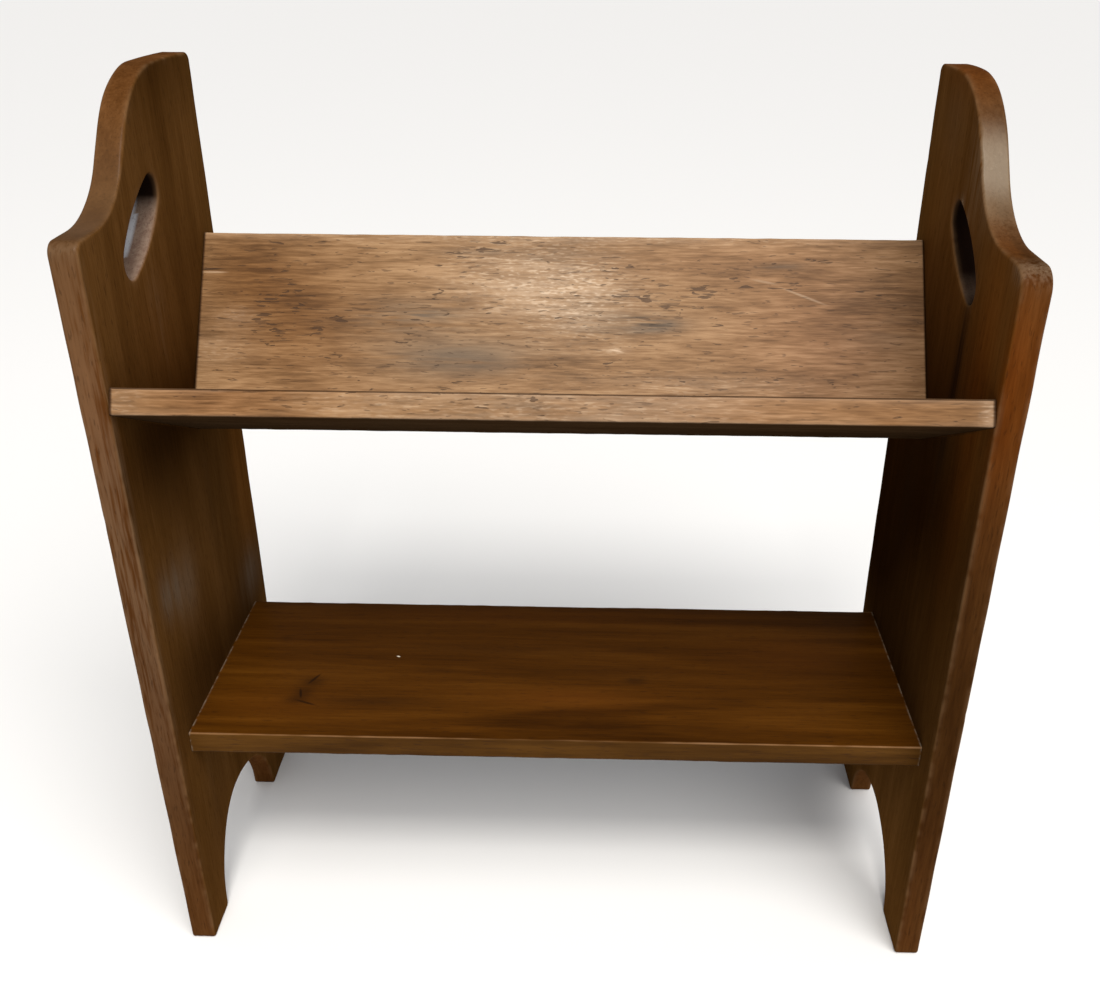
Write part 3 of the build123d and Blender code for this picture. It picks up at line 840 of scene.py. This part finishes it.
def long_board(
        name, node, corners, radii, tongue, bores, gaps, seed, across, shown, banded_side, paint, material):
    """A board between the ends: its section carried along X and set in along its own normals, by a ripple
    over the faces and a stronger one at each arris, which fade to nothing at the board's two ends. At
    each end is a shoulder, its gap short of the end board, with the tongue standing on it and a blind
    bore for each screw."""
    section = rounded(corners, radii)
    edges = [c for c, r in zip(corners, radii) if r > 0]
    arris = np.min([np.hypot(*(section - c).T) for c in edges], 0)
    left, right = gaps[0] - INNER, INNER - gaps[1]
    stations = np.linspace(left + SECOND_STATION, right - SECOND_STATION, STATIONS)
    x = np.concatenate(([left, left + FIRST_STATION], stations, [right - FIRST_STATION, right]))
    grid = np.concatenate((
        np.broadcast_to(x[:, None, None], (len(x), len(section), 1)),
        np.broadcast_to(section, (len(x), *section.shape)),
    ), -1)
    flat = grid.reshape(-1, 3)
    from_end = np.minimum(flat[:, 0] - left, right - flat[:, 0])
    fade = 1 - np.exp(-((from_end / BOARD_FADE) ** 2))
    planed = BOARD_PLANED * (1 + ripple(flat, BOARD_WAVE, seed))
    near_arris = np.tile(np.exp(-((arris / ARRIS_REACH) ** 2)), len(x))
    worn = ARRIS_WORN * (1 + ripple(flat, ARRIS_WAVE, seed + 1)) * near_arris
    outward = np.tile(normals(section), (len(x), 1))
    flat = flat - np.column_stack((0 * fade, outward * ((planed + worn) * fade)[:, None]))
    shell = Shell()
    shell.add(flat, strip(len(x), len(section)))
    head = OUTER - PLUG_DEPTH
    steps = (
        (SHANK_RADIUS, INNER + HOUSING), (SHANK_RADIUS, head - SHANK_LENGTH),
        (TIP_RADIUS, head - SCREW_LENGTH))
    mouths = [ring(bore, SHANK_RADIUS) for bore in bores]
    for hand in (-1, 1):
        gap = gaps[(hand + 1) // 2]
        cap, triangles, walls = terraced(
            section, mouths, [np.array(tongue)], HOUSING + gap, CAP_PITCH, flush=True)
        shell.add(np.column_stack((hand * (INNER - gap + cap[:, 2]), cap[:, :2])), triangles, walls)
        for bore in bores:
            blind, quads = turned(bore, steps)
            blind[:, 0] *= hand
            shell.add(blind, quads, np.arange(len(blind) - RING, len(blind))[None])
    points, faces = shell.settled()
    masks = board_masks(points, section, edges, across, shown, banded_side, paint)
    return make_piece(name, points, faces, masks, node, material)


def countersunk(board, places, toward, steps):
    """The finished board with a turned hole cut at each place: rings round a line that runs toward the
    wood, one for each step's radius at its depth, closed at both ends."""
    course = np.array((0, *toward))
    across = np.cross(course, (1, 0, 0))
    angle = np.arange(RING) * 2 * math.pi / RING
    circle = np.outer(np.cos(angle), (1, 0, 0)) + np.outer(np.sin(angle), across)
    last = (len(steps) - 1) * RING
    faces = [*strip(len(steps), RING).tolist(), list(range(RING))[::-1], list(range(last, last + RING))]
    for place in places:
        rings = [place + course * deep + wide * circle for wide, deep in steps]
        mesh = bpy.data.meshes.new("cutter")
        mesh.from_pydata((np.concatenate(rings) * MM).tolist(), [], faces)
        cutter = stood("cutter", mesh)
        cut = board.modifiers.new("seam_bore", "BOOLEAN")
        cut.operation, cut.solver, cut.object = "DIFFERENCE", "EXACT", cutter
        with bpy.context.temp_override(object=board, active_object=board):
            bpy.ops.object.modifier_apply(modifier=cut.name)
        bpy.data.objects.remove(cutter)


end_wood = end_finish()
plug_wood, screw_steel = plug_finish(), steel_finish()
for name, node in nodes.items():
    for holder in node.material_slots:
        holder.material = screw_steel if "screws" in name else plug_wood if "plugs" in name else end_wood

# chips in an arris, as (Y, Z, which face: 0 is the outer one, how deep, how long)
left_chips = [
    (FRONT, 517, 1, 1.6, 4), (FRONT, 538, 1, 0.8, 3), (FRONT, 480, 1, 0.7, 5), (FRONT, 590, 1, 1.2, 6),
    (FRONT, 400, 0, 0.8, 6), (FRONT, 300, 1, 0.6, 4), (-30, 660, 0, 0.8, 7), (BACK, 560, 0, 0.9, 5)]
right_chips = [
    (4, 644, 1, 1.2, 5), (-10, 628, 1, 1.5, 6), (FRONT, 575, 1, 1.5, 5), (FRONT + 10, 583, 1, 1.3, 5),
    (FRONT, 420, 1, 0.6, 5), (FRONT, 250, 0, 0.8, 4), (BACK, 600, 1, 0.8, 4)]

# marks on the end boards, as (Y, Z, half sizes, strength); besides stains and tones they paint light and
# shade: painted sheen and highlights, painted reflections, painted shadow on the hand holes' walls, and
# painted shade on the inner faces and edges
left_paint = {
    "stain": [(-55, 420, 30, 60, 0.3), (30, 330, 18, 90, 0.3), (-70, 120, 20, 60, 0.3)],
    # worn pale places, partly painted sheen and painted highlights on chips
    "bleach": [(FRONT, 400, 4, 220, 0.34), (-15, 525, 14, 22, 0.14), (FRONT, 592, 10, 7, 0.15),
               (-19, 503, 3, 30, 0.18)],
    # painted reflections
    "veil": [(-92, 320, 10, 18, 1), (-72, 318, 8, 20, 0.7), (-50, 308, 20, 26, 0.4), (92, 232, 26, 24, 0.8)],
    # painted shadow on the hand hole's wall
    "soot": [(16, 600, 20, 16, 1), (26, 604, 18, 14, 1), (2, 598, 10, 10, 0.7)],
    # the crown's gloss, with a painted sheen colour on its edge
    "shine": [(-75, 625, 45, 55, 0.9)],
    "ruddy": [(FRONT, 470, 10, 60, 0.3), (FRONT, 200, 10, 120, 0.1)],
    # lighter patches on the inner face: painted sheen and reflections, with some rubbing
    "rubbed": [(-20, 500, 40, 60, 0.15), (105, 330, 26, 90, 0.8), (-10, 40, 200, 60, 0.1)],
    # painted shade on the inner face
    "dim": [(0, 436, 200, 46, 0.85), (0, 370, 200, 50, 0.2), (-62, 240, 60, 46, 0.55),
            (30, 200, 90, 40, 0.6), (-80, 60, 60, 80, 0.45), (60, 700, 120, 60, 0.7)],
    # painted shade on the front edge and shoulder
    "smoked": [(FRONT, 120, 14, 130, 0.5), (FRONT + 16, 594, 22, 9, 0.65), (-50, 640, 60, 40, 0.15)],
}
right_paint = {
    # the first two rows darken a streak below the hand hole
    "stain": [(-32, 500, 7, 60, 0.9), (-26, 440, 9, 70, 0.7), (40, 360, 30, 90, 0.4)],
    # worn pale places, partly painted sheen and painted highlights on chips
    "bleach": [(FRONT + 10, 580, 12, 8, 0.5), (-12, 632, 24, 42, 0.5), (-45, 606, 18, 16, 0.4),
               (20, 588, 6, 7, 0.9), (6, 579, 7, 6, 0.9)],
    # painted shadow on the hand hole's wall
    "soot": [(34, 588, 20, 16, 1), (20, 574, 34, 24, 1), (0, 556, 30, 20, 0.92), (-24, 546, 22, 16, 0.88),
             (-38, 536, 16, 14, 0.8)],
    # the crown's gloss, with a painted sheen colour on its edge
    "shine": [(-20, 625, 50, 42, 1)],
    "ruddy": [(FRONT, 500, 10, 80, 1), (60, 690, 70, 30, 0.8), (-80, 450, 24, 120, 0.4)],
    # painted reflection
    "veil": [(70, 640, 30, 30, 0.1)],
    # lighter patches on the inner face: painted sheen and reflections, with some rubbing
    "rubbed": [(-82, 470, 28, 110, 1), (90, 480, 24, 140, 0.3), (-10, 560, 120, 90, 0.25),
               (-10, 40, 200, 60, 0.15)],
    # painted shade on the inner face
    "dim": [(20, 380, 220, 110, 1), (60, 210, 200, 100, 0.6), (94, 300, 50, 70, 0.5)],
    # painted shade on the front edge and shoulder
    "smoked": [(FRONT, 240, 14, 190, 0.95), (FRONT + 20, 582, 30, 10, 0.7)],
}
end_board("left_side_worn", LEFT_END, -1, 11, left_chips, left_paint, end_wood)
end_board("right_side_worn", RIGHT_END, 1, 31, right_chips, right_paint, end_wood)


def line_mark(shift, start, x, up, slope, half_length, half_width, strength, shade):
    """A line on a board, whose middle lies at X and so far up from the start, in millimetres: its middle in
    the grain's metres, its slope, half sizes, strength and colour."""
    middle = (shift[0] + x * MM, shift[1] + (start + up) * MM, shift[2])
    return middle, math.radians(slope), (half_length * MM, half_width * MM, 10.0), strength, shade


dark_stroke = (0.012, 0.005, 0.002)
shelf_lines = [line_mark(SHELF_SHIFT, 0, *row) for row in (
    (-138, 8, -20, 2.2, 1.2, 1, (0.75, 0.66, 0.52)),
    (-203, -26, 62, 11, 1.8, 0.8, dark_stroke),
    (-210, -46, 105, 9, 1.6, 0.8, dark_stroke),
    (-203, -58, -20, 13, 1.6, 0.75, dark_stroke),
)]
# marks on a long board, as (X, how far up the board, half sizes, strength)
shelf_paint = {
    "stain": [(-203, -30, 10, 6, 0.9), (-208, -44, 8, 7, 0.9), (-212, -55, 9, 5, 0.9),
              (-150, -55, 45, 7, 0.8), (-241, 32, 6, 3, 0.8), (-102, -10, 14, 3, 0.7), (66, -21, 10, 4, 1),
              (66, 24, 18, 3, 0.6), (139, -45, 14, 3, 0.6), (-60, 20, 120, 10, 0.4), (40, -10, 70, 12, 0.4)],
    "ruddy": [(10, -46, 60, 14, 0.9), (207, 21, 60, 30, 0.6), (-230, -60, 50, 20, 0.5),
              (-60, 75, 140, 12, 0.5)],
}
long_board(
    "lower_shelf_worn", "lower_shelf",
    corners=[(SHELF_FRONT, SHELF_LOW), (SHELF_FRONT, SHELF_TOP), (SHELF_BACK, SHELF_TOP),
             SHELF_TONGUE[2], SHELF_TONGUE[3], SHELF_TONGUE[0]],
    radii=[1.5, 1.5, 0.5, 0, 0.5, 0], tongue=SHELF_TONGUE, bores=BORES["shelf"], gaps=(0.1, 0.1), seed=51,
    across=((0, 0), (1, 0)), shown=(0, 1), banded_side=((-0.7, 0), 60.0), paint=shelf_paint,
    material=shelf_finish(shelf_lines))

nose_paint = {
    "stain": [(20, 2, 90, 8, 0.4)],
    "bleach": [(-276, 0, 12, 12, 0.2), (282, 0, 6, 12, 0.5), (-20, 0, 60, 6, 0.3), (-120, 0, 40, 6, 0.25),
               (80, 0, 50, 6, 0.25)],
    "golden": [(-190, 0, 90, 20, 0.5), (240, 0, 80, 20, 0.45)],
    "flecked": [(-60, 4, 160, 20, 0.22), (-12, 3, 4, 3, 0.7), (-85, 4, 4, 3, 0.6), (210, 3, 7, 3, 0.5)],
    "ruddy": [(120, 0, 160, 20, 0.5), (-220, 0, 60, 20, 0.5)],
}
long_board(
    "trough_front_board_worn", "trough_front_board",
    corners=[NOSE_LOW, NOSE_TOP, VALLEY, FRONT_TONGUE[2], FRONT_TONGUE[3], FRONT_TONGUE[0]],
    radii=[NOSE_ROUND, NOSE_ROUND, 0, 0, 0, 0], tongue=FRONT_TONGUE, bores=BORES["front"], gaps=(0.25, 0.3),
    seed=61, across=(NOSE_TOP, -UP_FRONT), shown=UP_FRONT, banded_side=(OVER_FRONT, 3.0), paint=nose_paint,
    material=trough_finish("trough_front_wood", GRAIN_FRONT, NOSE_SHIFT))

# torn flecks lie in groups, as (X, how far up the board, the spread of both, how many)
fleck_groups = [
    (-225, 78, 16, 13, 11), (-115, 68, 45, 30, 6), (-66, 128, 15, 3, 3), (90, 89, 20, 8, 11),
    (152, 106, 24, 12, 4), (165, 30, 55, 6, 4)]
chance = np.random.default_rng(5)
flecks = np.concatenate([
    chance.normal((x, up), (wide, high), (count, 2)) for x, up, wide, high, count in fleck_groups])
back_paint = {
    "stain": [(-120, 72, 45, 12, 1), (-80, 40, 60, 16, 0.9), (72, 68, 20, 5, 1), (50, 70, 40, 10, 0.7),
              (170, 116, 20, 3, 0.7), (-50, 128, 50, 5, 0.5), (255, 75, 30, 25, 0.3)],
    # worn pale places; the first two rows are also the painted sheen in the board's middle
    "bleach": [(12, 90, 40, 30, 1), (-38, 104, 44, 26, 0.75), (44, 48, 10, 3, 0.5), (-255, 70, 16, 8, 0.25),
               (-270, 45, 30, 12, 0.2), (100, 20, 80, 8, 0.3), (0, 138, 200, 4, 0.4)],
    "golden": [(-205, 70, 60, 60, 0.8), (-255, 110, 40, 40, 0.6), (280, 70, 16, 90, 0.35)],
    "flecked": [(-225, 80, 34, 26, 0.3), (-65, 128, 38, 9, 0.3), (95, 92, 40, 16, 0.3), (75, 60, 50, 12, 0.2),
                (-135, 80, 30, 8, 0.3), (30, 95, 40, 20, 0.25),
                *[(x, up, 5.5, 2.8, 0.75) for x, up in flecks]],
    "ruddy": [(215, 60, 80, 70, 0.8), (120, 120, 80, 20, 0.3)],
}
along_back = VALLEY @ UP_BACK
scratch, dark_stain = (0.50, 0.36, 0.24), (0.062, 0.043, 0.028)
back_lines = [line_mark(BACK_SHIFT, along_back, *row) for row in (
    (191, 92.5, -21, 25, 1.4, 0.36, scratch),
    (160, 104, -10, 14, 1.4, 0.28, scratch),
    (-278, 109.5, 3, 14, 0.9, 0.9, (0.03, 0.015, 0.008)),
    (-276, 107, 0, 15, 1.2, 0.7, (0.42, 0.28, 0.17)),
    (72, 68, -3, 20, 2.2, 0.7, dark_stain),
    (62, 74, 2, 16, 1.4, 0.5, dark_stain),
    (45, 47, -12, 7, 1.0, 0.6, (0.62, 0.46, 0.32)),
)]
back_board = long_board(
    "trough_back_board_worn", "trough_back_board",
    corners=[SEAM_LOW, BACK_TOP, BACK_HEAD, BACK_TONGUE[2], BACK_TONGUE[3], BACK_TONGUE[0]],
    radii=[0, 1.5, 1.5, 0, 0.4, 0], tongue=BACK_TONGUE, bores=BORES["back"], gaps=(0.5, 0.9), seed=71,
    across=(VALLEY, UP_BACK), shown=-BEHIND_BACK, banded_side=((0, 0), 1.0), paint=back_paint,
    material=trough_finish("trough_back_wood", GRAIN_BACK, BACK_SHIFT, back_lines))

seam_middle = (VALLEY + SEAM_LOW) / 2 + BEHIND_BACK * BOARD
seam_x = np.linspace(SEAM_MARGIN - INNER, INNER - SEAM_MARGIN, SEAM_SCREWS)
countersunk(back_board, [np.array((x, *seam_middle)) for x in seam_x], -BEHIND_BACK, (
    (SEAM_HEAD, -SEAM_PAST), (SEAM_HEAD, SEAM_RIM), (NECK_RADIUS, SEAM_TAPER), (NECK_RADIUS, SEAM_DEPTH)))


# the studio, in metres

CAMERA_PLACE = (0.034, -0.79875, 0.7787)
CAMERA_TURN = (-1.363, 27.754, 0.252)
LENS, LENS_SHIFT = 37.42, (-0.0239, -0.0004)
FLOOR_HALF = 40


def picture_camera():
    """The camera that took the picture: its place, its turn and its lens."""
    yaw, pitch, roll = (math.radians(degrees) for degrees in CAMERA_TURN)
    ahead = Vector((math.sin(yaw) * math.cos(pitch), math.cos(yaw) * math.cos(pitch), -math.sin(pitch)))
    level = Vector((math.cos(yaw), -math.sin(yaw), 0))
    upright = level.cross(ahead)
    right = math.cos(roll) * level + math.sin(roll) * upright
    up = -math.sin(roll) * level + math.cos(roll) * upright
    turn = Matrix((right, up, -ahead)).transposed().to_4x4()
    lens = bpy.data.cameras.new("picture_camera")
    lens.sensor_width = 36.0
    lens.lens = LENS
    lens.shift_x, lens.shift_y = LENS_SHIFT
    lens.clip_end = 100.0
    camera = stood("picture_camera", lens)
    camera.matrix_world = Matrix.Translation(CAMERA_PLACE) @ turn
    bpy.context.scene.camera = camera


def light(name, kind, place, target, energy, **settings):
    """A lamp of a kind at a place, facing a target."""
    lamp = bpy.data.lights.new(name, kind)
    lamp.energy = energy
    for setting, value in settings.items():
        setattr(lamp, setting, value)
    holder = stood(name, lamp)
    holder.location = place
    holder.rotation_euler = (Vector(target) - Vector(place)).to_track_quat("-Z", "Y").to_euler()


picture_camera()
light(
    "room_light", "SUN", place=(0.75, -1.6, 2.6), target=(0, 0, 0.3), energy=3.1,
    angle=math.radians(50), color=(1.0, 0.97, 0.93))
light(
    "front_box", "AREA", place=(0.02, -1.45, 2.48), target=(0, 0.05, 0.5), energy=26.0,
    size=0.5, color=(1.0, 0.96, 0.9))
world = bpy.data.worlds.new("room")
world.use_nodes = True
background = world.node_tree.nodes["Background"]
background.inputs["Color"].default_value = (0.95, 0.97, 1.0, 1.0)
background.inputs["Strength"].default_value = 0.30
bpy.context.scene.world = world
bpy.context.scene.view_settings.view_transform = "Standard"

floor_mesh = bpy.data.meshes.new("floor")
floor_corners = [(x * FLOOR_HALF, y * FLOOR_HALF, 0) for x, y in ((-1, -1), (1, -1), (1, 1), (-1, 1))]
floor_mesh.from_pydata(floor_corners, [], [(0, 1, 2, 3)])
floor = stood("floor", floor_mesh)
floor_mesh.materials.append(Finish("pale_floor", Base_Color=(0.86, 0.86, 0.86, 1), Roughness=0.85).material)
